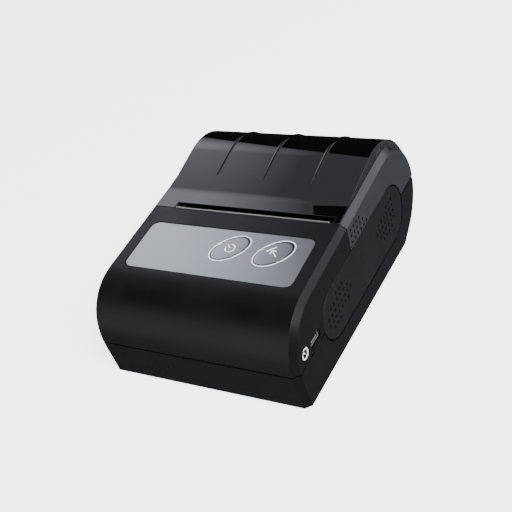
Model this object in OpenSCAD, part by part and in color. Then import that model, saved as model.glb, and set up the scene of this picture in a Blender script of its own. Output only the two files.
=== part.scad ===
// Portable 58 mm thermal receipt printer: clamshell case, smoked paper cover,
// line head with spring plates, geared platen roller, keys, boards and battery.
// Y runs from the front of the case to the back, Z up from the table.

/* [Case] */
// Bevel between the top, front and rear faces and the side walls
edge_c = 2; // [1.5:0.1:2.4]
// Wall thickness of the moulded shells
wall = 2; // [1.6:0.1:2.2]
// Radius of the big curve at the front of the case
front_r = 19; // [17:0.5:21]
// Distance from the front to the seam between housing and cover
seam_y = 48.7; // [46:0.1:53]
// Height of the parting seam at the front
seam_z = 15.1; // [14.6:0.1:16]
// Height of the rubber feet below the case
foot_h = 0.5; // [0.4:0.1:1]
// Slope of the rising part of the window
hump_slope = 14; // [12:0.5:16]

/* [Paper] */
// Widest paper roll
paper_w = 57.5; // [54:0.5:80]
// Largest roll diameter
roll_d = 40; // [37:0.5:44]
// How far the serrated edge reaches past the paper on each side
tear_margin = 2.25; // [1:0.05:2.6]
// Pitch of the teeth of the serrated edge
tooth_pitch = 0.86; // [0.7:0.02:1.2]
// Diameter of the platen rubber
platen_d = 8.8; // [8.2:0.1:9.4]

/* [Keys and film] */
// Bare strip of the panel beside the film
film_side = 6.7; // [5:0.1:9]
// Bare strip of the panel between film and paper slot
film_back = 8.27; // [7:0.01:10]
// Half length of the oval key
key_a = 6.95; // [6:0.05:7.1]
// Half width of the oval key
key_b = 4.3; // [3.8:0.05:4.5]

/* [Gears] */
// Gear module
gear_m = 0.4; // [0.38:0.01:0.4]
// Teeth of the platen gear
platen_teeth = 20; // [20:1:20]
// Teeth of the small step of the reduction gear
small_teeth = 18; // [18:1:18]
// Teeth of the large step of the reduction gear
large_teeth = 42; // [42:1:42]
// Teeth of the motor pinion
pinion_teeth = 14; // [14:1:14]
// Tooth pressure angle
gear_pa = 25; // [20:1:25]

/* [Fits] */
// Shadow gap between neighbouring case parts
gap = 0.3; // [0.25:0.05:0.4]
// Radial clearance of a running fit
run_fit = 0.05; // [0.03:0.01:0.08]

/* [Hidden] */
$fn = 48;
black = [0.07, 0.07, 0.08];
soft_black = [0.11, 0.11, 0.12];
smoke = [0.16, 0.16, 0.18];
silver = [0.72, 0.73, 0.75];
steel = [0.62, 0.63, 0.65];
green = [0.05, 0.3, 0.14];
brass = [0.75, 0.6, 0.3];
white = [0.9, 0.9, 0.88];
g2 = gap / 2;
// widths: the rubber, then outwards the bushes, plates and gears up to the side walls
rub_w = paper_w + 2;
bush_w = 1.75;
bush_gap = 0.7;
bush_play = 1;
plate_gap = 1.3;
plate_t = 1;
large_w = 1.3;
small_w = 2;
wall_in = wall + 0.6;
gear_side = bush_play + bush_w + plate_gap + plate_t + 2 * gap + small_w + large_w + 1
  + wall_in;
plain_side = bush_gap + bush_w + 2 * gap + plate_t + gap + wall_in;
body_w = rub_w + gear_side + plain_side;
hw = body_w / 2;
hwi = hw - edge_c;
inx = hw - wall_in;
paper_x = (gear_side - plain_side) / 2;
rub_x0 = -hw + gear_side;
rub_x1 = hw - plain_side;
tear_w = paper_w + 2 * tear_margin;
// lengths and heights: the roll in its bay sets the hump, the back and the top
tray_t = 1.2;
tray_r = roll_d / 2 + 0.3;
tray_z = wall + 0.1 + tray_t + tray_r;
body_h = tray_z + roll_d / 2 + 0.4 + wall;
hump_r = roll_d / 2 + 2 + wall;
rear_r = hump_r - 2;
platen_r = platen_d / 2;
pcy = seam_y + 1.5 + platen_r;
tray_y = pcy + platen_r + 1.5 + tray_t + tray_r;
body_l = tray_y + 2 + hump_r;
// circles of the side profile: front curve, rear curve and hump, with the panel slope
c1y = front_r;
c1z = seam_z + 2.4;
c2y = body_l - rear_r;
c2z = body_h - rear_r - 3.2;
c3y = body_l - hump_r;
c3z = body_h - hump_r;
cc = sqrt(pow(c2y - c1y, 2) + pow(c2z - c1z, 2));
slope = atan2(c2z - c1z, c2y - c1y) + asin((rear_r - front_r) / cc);
t1y = c1y - front_r * sin(slope);
t1z = c1z + front_r * cos(slope);
t3y = c3y - hump_r * sin(hump_slope);
t3z = c3z + hump_r * cos(hump_slope);
bend_y = (t3z - t1z + t1y * tan(slope) - t3y * tan(hump_slope))
  / (tan(slope) - tan(hump_slope));
bend_z = t1z + (bend_y - t1y) * tan(slope);
bend_r = 20;
bend_a = (slope + hump_slope) / 2;
foot_y = 1.65;
win_end_z = c3z + 7;
rib_w = 0.75;
rib_h = 0.4;
rear_seam_z = c2z - 0.3;
function plane_z(y) = t1z + (y - t1y) * tan(slope);
function inner_z(y) = y < t1y ? c1z + sqrt(pow(front_r - wall, 2) - pow(c1y - y, 2))
  : plane_z(y) - wall;
function arc(cy, cz, r, a0, a1, n) =
  [for (i = [0 : n]) [cy + r * cos(a0 + (a1 - a0) * i / n), cz + r * sin(a0 + (a1 - a0) * i / n)]];
// side profile of the case, set in by d, with its bottom at height b
function outline(d, b) = concat(
  [[foot_y * (1 - b / seam_z) + d, b], [d, seam_z]],
  arc(c1y, c1z, front_r - d, 180, 90 + slope, 18),
  arc(c2y, c2z, rear_r - d, 90 + slope, -62, 30),
  [[c2y + 7.2 - 1.3 * d, b]]);
// profile of the window surface, set in by d, closed off below
function win_top(d) = concat(
  [[seam_y + g2, plane_z(seam_y + g2) - d / cos(slope)]],
  [for (i = [0 : 3]) let (a = -90 + slope + (hump_slope - slope) * i / 3,
     k = bend_r / cos(bend_a - slope))
     [bend_y + k * cos(90 + bend_a) + (bend_r + d) * cos(a),
      bend_z + k * sin(90 + bend_a) + (bend_r + d) * sin(a)]],
  arc(c3y, c3z, hump_r - d, 90 + hump_slope, 0, 24));
function win_pts(d) = concat(win_top(d), [[c3y + hump_r - d, 10], [seam_y + g2, 10]]);
// side pad
p1y = 31.2;
p1z = seam_z + 2.15;
p1r = 10.2;
p2y = seam_y + 33.35;
p2z = rear_seam_z - 1.6;
p2r = 11.25;
pcc = sqrt(pow(p2y - p1y, 2) + pow(p2z - p1z, 2));
pad_a = atan2(p2z - p1z, p2y - p1y);
pad_t = asin((p2r - p1r) / pcc);
pad_x0 = hw - 1.35;
pad_x1 = hw - 0.05;
// hinge
pvy = body_l - 2;
pvz = rear_seam_z - 0.1;
knuckle_r = 2;
pin_r = 0.8;
relief_r = 3;
// platen, head and gears
shaft_r = 1.5;
pcz = plane_z(pcy) - platen_r - wall - 0.34;
bush_r = 3;
head_y = pcy - platen_r - gap;
arm_l = rub_x0 - bush_play - bush_w;
plate_l = arm_l - plate_gap;
arm_r = rub_x1 + bush_gap;
motor_r = 7.4;
motor_l = 11;
motor_shaft_r = 0.75;
// board
board_z = seam_z + 0.15;
board_t = 1.6;
board_end = seam_y - 4.3;
// gear centres: the motor lies between board and panel behind the head, and the
// reduction gear where its two pitch circles reach motor and platen
mcy = head_y - 3.6 - motor_r;
mcz = (board_z + board_t + plane_z(mcy) - wall) / 2;
ra_dist = gear_m * (platen_teeth + small_teeth) / 2;
rb_dist = gear_m * (large_teeth + pinion_teeth) / 2;
pm = sqrt(pow(pcy - mcy, 2) + pow(pcz - mcz, 2));
ang_a = atan2(mcz - pcz, mcy - pcy)
  + acos((pow(ra_dist, 2) - pow(rb_dist, 2) + pow(pm, 2)) / (2 * ra_dist * pm));
gcy = pcy + ra_dist * cos(ang_a);
gcz = pcz + ra_dist * sin(ang_a);
ang_b = atan2(mcz - gcz, mcy - gcy);
gear_pin_r = 1;
gear_x = plate_l - plate_t - gap - small_w;
large_x = gear_x - gap - large_w;
// film and keys: x across, u up the panel from where it starts
film_w = body_w - 2 * film_side;
film_u = 0.75;
film_l = (seam_y - t1y) / cos(slope) - film_u - film_back;
key_x = [hw - 36, hw - 19.1];
key_u = film_u + film_l - 8.6;
key_turn = 43;
key_board_w = 2 * key_a + 1.5;
// ports
dc_y = 7.6;
port_z = seam_z + 4.1;
usb_y = 14.75;
dc_r = 2.08;
usb_w = 7;
usb_h = 3.2;
shell_t = 0.25;
shell_w = usb_w - 1.1;
shell_h = usb_h - 0.8;
shell_y = usb_y - usb_w / 2 + gap;
shell_z = port_z - usb_h / 2 + 0.5;
// battery, bosses, posts and feet
boss_x = hw - 15.5;
side_boss_x = hw - 6.3;
post_x = hw - 8.9;
boss_y = mcy - motor_r - 4;
boss = [[-boss_x, 7], [boss_x, 7], [-side_boss_x, boss_y], [side_boss_x, boss_y]];
post = [[-post_x, 12.5], [-post_x, board_end - 4.4], [post_x, board_end - 4.4],
  [post_x, boss_y - 4.5]];
bat_x = hw - 11.5;
bat_y0 = 10.8;
bat_y1 = seam_y - 4.1;
bat_top = board_z - 2.85;
lid_t = wall - 0.4;
floor_z = board_z + board_t + 1.75;
floor_t = 1.6;
plate_top = plane_z(mcy) - wall - 3.95;
leg_z = 4.6;
hinge_x = [hw - 13.5, hw - 9.5, hw - 3.2];
wall_y = head_y - 8.4;
cable_w = 18;
cable_z = floor_z + 2.25;
feet = [[-hw + 6, 16], [hw - 6, 16], [-hw + 9, body_l - 24], [hw - 9, body_l - 24]];
mech = [[plate_l + 2.5, pcy + 6.4], [rub_x1 + 2, pcy + 6.4]];
// grip dots of the pads: row number, first and last dot of the row
dot_r = 0.62;
dot_deep = 0.35;
dot_pitch = 2.6;
front_rows = [[2, 3, 5], [1, 1, 6], [0, 0, 7], [-1, 0, 6], [-2, 1, 3]];
rear_rows = [[2, 4, 6], [1, 1, 6], [0, 0, 6], [-1, 1, 6], [-2, 2, 5]];

module place() translate([0, -body_l / 2, foot_h]) children();

// prism along X from x0, of a side view drawn as Y and Z
module xprism(x0, w) translate([x0, 0, 0]) rotate([90, 0, 90]) linear_extrude(w) children();

module rod(x0, w, y, z, r) translate([x0, y, z]) rotate([0, 90, 0]) cylinder(r = r, h = w);

module box(x0, x1, y0, y1, z0, z1)
  translate([x0, y0, z0]) cube([x1 - x0, y1 - y0, z1 - z0]);

module on_panel(x, u) translate([x, t1y, t1z]) rotate([slope, 0, 0])
  translate([0, u, 0]) children();

module body_hull() hull() {
  xprism(-hwi, 2 * hwi) polygon(outline(0, 0));
  xprism(-hw, body_w) polygon(outline(edge_c, 0));
}

module cavity(floor_z) xprism(-inx, 2 * inx) polygon(outline(wall, floor_z));

// rounded pad outline, grown by e
module pad_shape(e) polygon(concat(
  arc(p1y, p1z, p1r + e, pad_a + 90 + pad_t, pad_a + 270 - pad_t, 36),
  arc(p2y, p2z, p2r + e, pad_a - 90 - pad_t, pad_a + 90 + pad_t, 36)));

function seam_at(y) = seam_z + 0.045 * y;

// tongues of the lower case that rise to the two ports
module tongues(e) {
  translate([dc_y - 2.05 - e, 10]) square([4.1 + 2 * e, port_z - 10 + e]);
  translate([usb_y - 2.4 - e, 10]) square([5.3 + 2 * e, port_z - 10 + e]);
}

module port_holes() {
  rod(hw - 4, 6, dc_y, port_z, dc_r + 0.4);
  box(hw - 4, hw + 1, usb_y - usb_w / 2, usb_y + usb_w / 2, port_z - usb_h / 2,
    port_z + usb_h / 2);
}

module pad_recess() for (s = [-1, 1])
  xprism(s > 0 ? pad_x0 - 0.05 : -hw - 1, hw + 1 - pad_x0 + 0.05) pad_shape(gap);

function oval(a, b) = [for (i = [0 : 39]) [a * cos(i * 9), b * sin(i * 9)]];

module at_key(i) on_panel(key_x[i], key_u) rotate([0, 0, key_turn]) children();

module film_shape(e) translate([-film_w / 2 - e, film_u - e])
  rounded(film_w + 2 * e, film_l + 2 * e, 3);

module rounded(w, h, r) {
  translate([r, 0]) square([w - 2 * r, h]);
  translate([0, r]) square([w, h - 2 * r]);
  for (x = [r, w - r], y = [r, h - r]) translate([x, y]) circle(r = r);
}

// Upper half of the front case: curved front, key panel, ribs for the tear bar,
// screw columns and key board posts.
module upper_housing() color(black) difference() {
  union() {
    difference() {
      intersection() {
        body_hull();
        xprism(-50, 100) polygon([[-1, seam_at(-1) + g2], [seam_y - g2, seam_at(seam_y) + g2],
          [seam_y - g2, 60], [-1, 60]]);
      }
      cavity(wall);
      xprism(30, 20) tongues(gap);
    }
    xprism(rub_x0 - 1.5, rub_x1 - rub_x0 + 3)
      polygon([[seam_y - 2.3, pcz + 0.9], [seam_y - 0.3, pcz + 0.9],
        [seam_y - 0.3, plane_z(seam_y) - 1], [seam_y - 2.3, plane_z(seam_y) - 1.2]]);
    for (b = boss) translate([b[0], b[1], board_z + board_t + 0.1])
      cylinder(r = 2.6, h = inner_z(b[1]) + (b[1] < 15 ? -1.1 : 1) - board_z - board_t - 0.1);
    for (i = [0, 1]) at_key(i) translate([(2 * i - 1) * (key_a + 2.85), 1.3 - 2.6 * i, -7.2])
      cylinder(r = 1.8, h = 6.2);
  }
  on_panel(0, 0) translate([0, 0, -0.5]) linear_extrude(2) film_shape(0.2);
  for (i = [0, 1]) at_key(i) translate([0, 0, -3]) linear_extrude(4)
    polygon(oval(key_a + gap, key_b + gap));
  for (b = boss) translate([b[0], b[1], board_z]) cylinder(r = 1.15, h = 6.5);
  box(paper_x - tear_w / 2 - gap, paper_x + tear_w / 2 + gap, seam_y - 0.3, seam_y + 1,
    pcz - 1.7, plane_z(seam_y) + 4);
  pad_recess();
  port_holes();
}

// Lower tub: floor with battery opening, port tongues, side walls behind the pads,
// screw bosses, board posts and the rear hinge ears.
module bottom_case() color(black) difference() {
  union() {
    difference() {
      intersection() {
        body_hull();
        union() {
          xprism(-50, 100) polygon([[-1, -1], [body_l + 1, -1], [body_l + 1, rear_seam_z - g2],
            [seam_y + g2, rear_seam_z - g2], [seam_y + g2, seam_at(seam_y) - g2],
            [-1, seam_at(-1) - g2]]);
          xprism(30, 20) tongues(0);
          for (s = [-1, 1]) xprism(s > 0 ? 30 : -50, 20) intersection() {
            pad_shape(0);
            translate([seam_y + g2, 0]) square([60, 60]);
          }
        }
      }
      cavity(wall);
      xprism(-50, 100) difference() {
        translate([pvy, pvz]) circle(r = relief_r);
        translate([pvy - gap - 10, pvz - 10]) square([10, 20]);
      }
    }
    for (b = boss) translate([b[0], b[1], 0.5]) cylinder(r = 2.9, h = board_z - 0.9);
    for (p = post) translate([p[0], p[1], 1]) cylinder(r = 1.6, h = board_z - 1.05);
    for (p = mech) translate([p[0], p[1], 1]) cylinder(r = 2.4, h = 3.5);
    translate([0, 7.4, wall - 0.2]) cylinder(r = 2.6, h = 7);
    for (s = [-1, 1]) rod(s > 0 ? hinge_x[0] : -hinge_x[1], 4, pvy, pvz, knuckle_r);
    box(-inx, inx, pvy - 2.2, pvy - gap, pvz - 7, pvz - 0.2);
  }
  for (b = boss) translate([b[0], b[1], -1]) {
    cylinder(r = 2.3, h = 6);
    cylinder(r = 1.3, h = 20);
  }
  for (p = post) translate([p[0], p[1], 8]) cylinder(r = 0.8, h = 10);
  for (p = mech) translate([p[0], p[1], 2]) cylinder(r = 0.9, h = 5);
  translate([0, 7.4, 1]) cylinder(r = 0.9, h = 6);
  box(-bat_x - 1, bat_x + 1, bat_y0 - 0.7, bat_y1 + 0.7, -1, lid_t + 0.05);
  box(-4.2, 4.2, 4.3, bat_y0, -1, lid_t + 0.05);
  box(-bat_x - 0.3, bat_x + 0.3, bat_y0 - 0.3, bat_y1 + 0.3, -1, 3);
  for (f = feet) translate([f[0], f[1], -1]) cylinder(r = 3.7, h = 1.75);
  for (s = [-1, 1]) rod(s > 0 ? hinge_x[1] : -hinge_x[2] - gap, 6.6, pvy, pvz, knuckle_r + gap);
  for (s = [-1, 1]) rod(s > 0 ? hinge_x[0] : -hinge_x[1] - 0.5, 4.5, pvy, pvz, pin_r);
  pad_recess();
  port_holes();
}

module panel_film() color(silver) on_panel(0, 0) translate([0, 0, -0.5]) linear_extrude(0.35)
  difference() {
    film_shape(0);
    for (i = [0, 1]) translate([key_x[i], key_u]) rotate(key_turn)
      polygon(oval(key_a + gap, key_b + gap));
  }

module key_body(i) at_key(i) {
  translate([0, 0, -3.3]) linear_extrude(1) polygon(oval(key_a + 1, key_b + 1));
  translate([0, 0, -2.5]) linear_extrude(2.35) polygon(oval(key_a, key_b));
  translate([0, 0, -4.55]) cylinder(r = 1.5, h = 1.5);
}

module power_key() color(silver) key_body(0);

module feed_key() color(silver) key_body(1);

module key_board() color(green) on_panel(0, 0)
  translate([key_x[0] - key_board_w / 2, key_u - key_board_w / 2 + 0.3, -8.25])
  cube([key_x[1] - key_x[0] + key_board_w - 0.9, key_board_w - 0.6, 1]);

module tact_switches() color(steel) for (i = [0, 1]) at_key(i) {
  translate([-2.6, -2.6, -7.24]) cube([5.2, 5.2, 1.7]);
  translate([0, 0, -5.6]) cylinder(r = 1.2, h = 0.7);
}

// Serrated steel edge standing at the front of the paper slot.
module tear_bar() color(steel) {
  n = round(tear_w / tooth_pitch);
  p = tear_w / n;
  tip = plane_z(seam_y) + 0.4;
  translate([paper_x - tear_w / 2, seam_y + 0.25, 0]) rotate([90, 0, 0]) linear_extrude(0.5)
    polygon(concat([[tear_w, pcz + 1.1], [0, pcz + 1.1]],
      [for (i = [0 : n - 1], k = [0, 1]) [p * i + k * p / 2, k == 0 ? tip - 0.8 : tip]],
      [[tear_w, tip - 0.8]]));
}

// Mechanism frame: two side plates with open shaft notches, floor, spring wall and legs.
module side_plate(x, front, top) xprism(x, plate_t) polygon([[front, floor_z], [pcy + 4, floor_z],
  [pcy + 4, pcz + 1.2], [pcy + 3.4, pcz + 2.3], [pcy - 3.2, pcz + 2.3], [pcy - 3.4, pcz + 0.2],
  [pcy - 10.6, top], [front + 1.9, top], [front, top - 2.5]]);

module head_chassis() color(soft_black) difference() {
  union() {
    side_plate(plate_l - plate_t, mcy - motor_r - 0.5, plate_top);
    side_plate(arm_r + bush_w + gap, head_y - 7.9, plate_top);
    box(plate_l - 0.5, arm_r + bush_w + 0.55, head_y - 2.3, pcy + 2, floor_z, floor_z + floor_t);
    box(plate_l + motor_l + 1, arm_r + bush_w + 0.55, wall_y, head_y - 1.9, floor_z,
      floor_z + floor_t);
    box(plate_l + motor_l + 1, rub_x1 - 2, wall_y, wall_y + 1.2, floor_z + 0.9, pcz - 1.7);
    for (m = mech) {
      box(m[0] - 1.9, m[0] + 1.9, pcy - 6.6, pcy + 2.9, leg_z, floor_z + 0.9);
      box(m[0] - 1.9, m[0] + 1.9, pcy + 1.4, pcy + 8.4, leg_z, leg_z + 1.5);
    }
  }
  xprism(-hw, body_w) {
    translate([pcy, pcz]) circle(r = shaft_r + gap + 0.05);
    polygon([[pcy - shaft_r - 0.35, pcz], [pcy + shaft_r + 0.35, pcz],
      [pcy + shaft_r + 1.8, pcz + 4], [pcy - shaft_r - 0.1, pcz + 4]]);
  }
  for (m = mech) translate([m[0], m[1], 0]) cylinder(r = 1.1, h = 10);
  box(paper_x - cable_w / 2 - 0.4, paper_x + cable_w / 2 + 0.4, wall_y - 0.5, wall_y + 1.5,
    cable_z - 0.6, cable_z + 0.95);
  rod(-hw, hw - 10, mcy, mcz, 1.6);
  rod(-hw, hw - 10, gcy, gcz, gear_pin_r);
}

module heat_sink() color(steel) difference() {
  box(rub_x0 + 0.4, rub_x1 - 0.4, head_y - 3, head_y - 0.82, pcz - 7.2, pcz + 0.6);
  for (i = [0 : 8]) translate([rub_x0 + 3.2 + i * (rub_w - 9.4) / 8, head_y - 3.5, pcz - 6])
    cube([3, 1.2, 4.8]);
}

module thermal_head() color(white) union() {
  box(rub_x0 + 0.4, rub_x1 - 0.4, head_y - 0.8, head_y - 0.05, pcz - 7.2, pcz + 2.3);
  box(rub_x0 + 2, rub_x1 - 2, head_y - 0.2, head_y, pcz - 0.7, pcz + 0.7);
}

module head_springs() color(steel) for (x = [paper_x - 13.3, paper_x + 8.3]) xprism(x, 5)
  polygon([[wall_y + 1.25, floor_z + 3.4], [wall_y + 1.55, floor_z + 3.4], [head_y - 3.3, pcz - 5.2],
    [head_y - 3.05, pcz - 5.2], [head_y - 3.05, pcz - 4.8], [head_y - 3.5, pcz - 4.8],
    [wall_y + 1.25, floor_z + 4]]);

module stepper_motor() color(steel) difference() {
  union() {
    rod(plate_l + 0.05, motor_l, mcy, mcz, motor_r);
    rod(plate_l - 0.9, 1, mcy, mcz, 1.5);
    box(plate_l + 3, plate_l + 9, mcy - 3, mcy + 3, mcz + 6, mcz + 8.2);
  }
  rod(plate_l - 2, 9, mcy, mcz, motor_shaft_r + run_fit);
}

// involute gear flank helpers; angles in degrees
function inv_deg(a) = tan(a) * 180 / PI - a;
function half_t(rp, z, r) = 90 / z - 1.1 / rp + inv_deg(gear_pa)
  - inv_deg(acos(min(1, rp * cos(gear_pa) / r)));
function gear_pts(z) = let (rp = gear_m * z / 2, rb = rp * cos(gear_pa), ro = rp + 0.9 * gear_m,
    rr = rp - 1.2 * gear_m, r0 = max(rb, rr + 0.02))
  [for (i = [0 : z - 1], k = [0 : 9])
    let (r = k == 0 || k == 9 ? rr : r0 + (ro - r0) * (k < 5 ? (k - 1) / 3 : (8 - k) / 3),
      h = half_t(rp, z, max(r, r0)) * (k < 5 ? -1 : 1), a = 360 * i / z + h)
    [r * cos(a), r * sin(a)]];

// gear blank on an X axis; turn gives the angle of one tooth in the side view
module gear(x0, w, y, z, teeth, turn)
  translate([x0, y, z]) rotate([90, 0, 90]) rotate(turn) linear_extrude(w)
    polygon(gear_pts(teeth));

module motor_pinion() color(brass) {
  gear(large_x - 0.05, large_w + 0.1, mcy, mcz, pinion_teeth, ang_b + 180);
  rod(large_x - 0.15, 10.5, mcy, mcz, motor_shaft_r);
}

module reduction_gear() color(white) difference() {
  union() {
    gear(gear_x, small_w, gcy, gcz, small_teeth, ang_a + 180);
    gear(large_x, large_w, gcy, gcz, large_teeth, ang_b + 180 / large_teeth);
    rod(large_x + large_w / 2, gear_x - large_x, gcy, gcz, 2.6);
  }
  rod(large_x - 1, small_w + large_w + 3, gcy, gcz, gear_pin_r + run_fit);
}

module gear_pin() color(steel) rod(large_x - 0.25, plate_l - large_x + 0.25, gcy, gcz, gear_pin_r);

module platen_shaft() color(steel) rod(gear_x, arm_r + bush_w + 1.45 - gear_x, pcy, pcz, shaft_r);

module platen_rubber() color(soft_black) difference() {
  rod(rub_x0, rub_w, pcy, pcz, platen_r);
  rod(-50, 100, pcy, pcz, shaft_r);
}

module platen_gear() color(white) difference() {
  gear(gear_x, small_w, pcy, pcz, platen_teeth, ang_a + 180 / platen_teeth);
  rod(gear_x - 1, small_w + 2, pcy, pcz, shaft_r);
}

module platen_bushes() color(brass) difference() {
  union() {
    rod(arm_l, bush_w, pcy, pcz, bush_r);
    rod(arm_r, bush_w, pcy, pcz, bush_r);
  }
  rod(-50, 100, pcy, pcz, shaft_r + run_fit);
}

// round dimple in a side face at x, as deep as dot_deep and dot_r in radius at the face
module grip_dot(x, y, z) {
  ball = (pow(dot_r, 2) + pow(dot_deep, 2)) / (2 * dot_deep);
  translate([x + sign(x) * (ball - dot_deep), y, z]) sphere(r = ball, $fn = 24);
}

module grip_dots(s) for (r = [0 : 2], i = [0 : 3 + r])
  grip_dot(s * hw, seam_y + 2.4 + 2.45 * i, rear_seam_z + 14.9 - 2.4 * r);

// Frame of the paper cover: bevelled side wings with grips, rear panel with hinge barrels,
// glazing ledges, cross bar and the two arms that carry the platen.
module cover_frame() color(soft_black) difference() {
  union() {
    difference() {
      intersection() {
        body_hull();
        xprism(-50, 100) polygon([[seam_y + g2, 15], [seam_y + g2, 60], [120, 60],
          [120, rear_seam_z + g2], [80, rear_seam_z + g2], [80, 15]]);
      }
      box(-hwi + 0.2, hwi - 0.2, 0, 120, 0, 60);
    }
    intersection() {
      difference() {
        xprism(-hwi + 0.1, 2 * hwi - 0.2) polygon(outline(0, 0));
        xprism(-hwi, 2 * hwi) polygon(outline(wall, 0));
      }
      box(-hw, hw, 90, 120, rear_seam_z + 0.25, win_end_z - 0.1);
    }
    for (s = [-1, 1]) intersection() {
      difference() {
        xprism(s > 0 ? hwi - 1.5 : -hwi - 0.1, 1.6) polygon(outline(wall + 0.05, 0));
        xprism(-hw, 2 * hw) polygon(outline(wall + 1.6, 0));
      }
      box(-hw, hw, seam_y + 0.5, 120, rear_seam_z + 4, 60);
    }
    box(-hwi + 1, hwi - 1, pcy + 4.6, pcy + 7.4, plane_z(pcy + 4.6) - 3.7,
      plane_z(pcy + 4.6) - 2.35);
    for (x = [arm_l, arm_r]) {
      rod(x, bush_w, pcy, pcz, bush_r + 1.2);
      box(x, x + bush_w, pcy + 1, pcy + 6, pcz - 0.5, plane_z(pcy) - 2.4);
    }
    for (s = [-1, 1]) rod(s > 0 ? hinge_x[1] + gap : -hinge_x[2], 6, pvy, pvz, knuckle_r);
  }
  for (s = [-1, 1]) {
    xprism(s > 0 ? 30 : -50, 20) pad_shape(gap + 0.02);
    rod(s > 0 ? hinge_x[0] - gap : -hinge_x[1] - gap, 4.6, pvy, pvz, knuckle_r + gap);
    rod(s > 0 ? hinge_x[1] : -hinge_x[2] - 0.1, 6.4, pvy, pvz, pin_r + run_fit);
    xprism(s > 0 ? hwi - 0.3 : -hwi - 1.3, 1.6) intersection() {
      polygon(outline(-1, 0));
      difference() {
        translate([c2y + 6.3, win_end_z + 1]) square(40);
        polygon(outline(8, 0));
      }
    }
    grip_dots(s);
  }
  rod(arm_l - 0.5, rub_x1 - arm_l + 4, pcy, pcz, bush_r);
}

// Smoked window: flat lip at the slot, blend, raised hump with three ribs, low side rim.
module cover_window() color(smoke) difference() {
  union() {
    xprism(-hwi + 0.8, 2 * hwi - 1.6) difference() {
      polygon(win_pts(0));
      polygon(win_pts(wall));
      translate([0, win_end_z - 60]) square([120, 60]);
    }
    for (s = [-1, 1]) {
      xprism(s > 0 ? hwi - 2.6 : -hwi + 0.8, 1.8) difference() {
        polygon(win_pts(0));
        polygon(outline(wall, 0));
        translate([0, win_end_z - 60]) square([120, 60]);
      }
      xprism(s > 0 ? hwi - 1.2 : -hwi + 0.35, 0.85) difference() {
        intersection() {
          polygon(win_pts(0));
          polygon(outline(-0.5, 0));
        }
        polygon(outline(wall, 0));
        translate([0, win_end_z - 60]) square([120, 60]);
      }
    }
    for (x = [-hw / 2, 0, hw / 2]) xprism(x - rib_w / 2, rib_w) intersection() {
      difference() {
        polygon(win_pts(-rib_h));
        polygon(win_pts(0.5));
      }
      translate([bend_y + 8.2, win_end_z + 3]) square([60, 60]);
    }
  }
  box(paper_x - tear_w / 2 - 0.8, paper_x + tear_w / 2 + 1, seam_y - 2, seam_y + 3.05, 30, 60);
}

module hinge_pins() color(steel) for (s = [-1, 1])
  rod(s > 0 ? hinge_x[0] + 0.1 : -hinge_x[2] + 0.2, 10, pvy, pvz, pin_r);

// Soft side pad with two dotted grip fields.
module inlay(s) color(soft_black) difference() {
  xprism(s > 0 ? pad_x0 : -pad_x1, pad_x1 - pad_x0) pad_shape(0);
  for (f = [[p1y - 6.1, p1z + 0.55, front_rows], [p2y - 13.05, p2z + 0.7, rear_rows]],
    r = f[2], i = [r[1] : r[2]])
    grip_dot(s * pad_x1, f[0] + i * dot_pitch, f[1] + r[0] * dot_pitch);
}

module inlay_left() inlay(-1);

module inlay_right() inlay(1);

module main_board() color(green) translate([0, 0, board_z]) difference() {
  union() {
    translate([-hw + 7.1, 3.4, 0]) cube([body_w - 14.2, board_end - 3.4, board_t]);
    translate([hw - 9.5, 3.4, 0]) cube([inx - hw + 9, 17.6, board_t]);
  }
  for (b = boss) translate([b[0], b[1], -1]) cylinder(r = 3.3, h = 4);
  for (p = post) translate([p[0], p[1], -1]) cylinder(r = 0.9, h = 4);
}

module board_parts() color([0.12, 0.12, 0.13]) translate([0, 0, board_z + board_t + 0.02]) {
  translate([2, 12, 0]) cube([9, 9, 1.3]);
  translate([-14, 12, 0]) cube([7, 7, 1.6]);
  translate([-22, 22, 0]) cube([6, 6, 2.4]);
  translate([14, 24, 0]) cube([5, 8, 1.2]);
  translate([-2, 28, 0]) cube([12, 4, 1.6]);
  translate([22, 14, 0]) cylinder(r = 2.4, h = 4.6);
  translate([22, 20, 0]) cylinder(r = 2.4, h = 4.6);
  translate([paper_x - 9, board_end - 5.4, 0]) cube([cable_w, 3, 1.6]);
}

module dc_jack_sleeve() color(silver) {
  difference() {
    rod(hw - 7, 6.7, dc_y, port_z, dc_r);
    rod(hw - 6, 10, dc_y, port_z, dc_r - 0.55);
  }
  rod(hw - 6.5, 6, dc_y, port_z, 0.3);
}

module dc_jack_body() color(black) {
  difference() {
    box(hw - 11, inx - 0.3, dc_y - 2.8, dc_y + 2.8, board_z + board_t + 0.05, port_z + 2.6);
    rod(hw - 7, 10, dc_y, port_z, dc_r);
  }
  difference() {
    rod(hw - 5.9, 5.4, dc_y, port_z, dc_r - 0.58);
    rod(hw - 7, 10, dc_y, port_z, dc_r - 0.85);
  }
}

// Folded shell of the data socket, open to the side, with its contact tongue.
module usb_socket() color(silver) {
  difference() {
    box(hw - 7, hw - 0.5, shell_y, shell_y + shell_w, shell_z, shell_z + shell_h);
    box(hw - 6, hw, shell_y + shell_t, shell_y + shell_w - shell_t, shell_z + shell_t,
      shell_z + shell_h - shell_t);
  }
  box(hw - 6.5, hw - 0.6, shell_y + 1, shell_y + shell_w - 1, shell_z + 0.85, shell_z + 1.3);
  for (y = [shell_y + 0.4, shell_y + shell_w - 1.2])
    box(hw - 6, hw - 4.5, y, y + 0.8, board_z + board_t + 0.03, shell_z + 0.1);
}

module battery_pack() color([0.2, 0.25, 0.45]) union() {
  box(-bat_x + 0.3, bat_x - 0.3, bat_y0 + 0.2, bat_y1 - 0.2, wall + 0.05, bat_top);
  box(-6, 6, bat_y1 - 5, bat_y1 - 1, bat_top - 0.4, bat_top + 1.2);
}

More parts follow.
